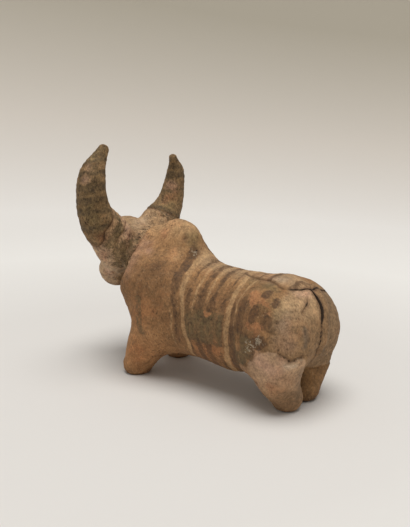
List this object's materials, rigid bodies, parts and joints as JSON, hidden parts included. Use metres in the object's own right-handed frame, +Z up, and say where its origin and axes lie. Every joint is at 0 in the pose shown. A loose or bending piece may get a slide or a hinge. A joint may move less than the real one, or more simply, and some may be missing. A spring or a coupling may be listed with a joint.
{
  "type": "terracotta zebu figurine",
  "caption": "Small hand-modelled terracotta zebu bull with a hump, tall curved horns, painted stripes and four stub legs, standing on its feet.",
  "frame": {"origin": "on the ground, under the middle of the figurine's bounding box", "axes": "+X towards the head, +Y to the bull's left, +Z up"},
  "size_m": [0.1282, 0.068, 0.107],
  "materials": {
    "painted_body": "fired clay with worn dark and buff stripes, dull",
    "plain_clay": "bare orange-buff fired clay, dull",
    "painted_neck": "fired clay under worn green-grey paint, dull",
    "face_clay": "pale buff fired clay, dull",
    "dark_paint": "dark brown paint on clay, dull",
    "banded_horn": "green-brown fired clay with dark cross bands, dull",
    "worn_haunch": "worn beige-brown fired clay, dull",
    "mended_leg": "pinkish buff clay, smooth and dull"
  },
  "bodies": {
    "root": {"torso": "painted_body", "hump": "plain_clay", "neck": "painted_neck", "head": "face_clay", "eye_left": "dark_paint", "eye_right": "dark_paint", "horn_left": "banded_horn", "horn_right": "banded_horn", "foreleg_left": "plain_clay", "foreleg_right": "plain_clay", "haunch_left": "worn_haunch", "haunch_right": "worn_haunch", "tail": "plain_clay", "hind_leg_left": "mended_leg", "hind_leg_right": "plain_clay"}
  },
  "joints": []
}
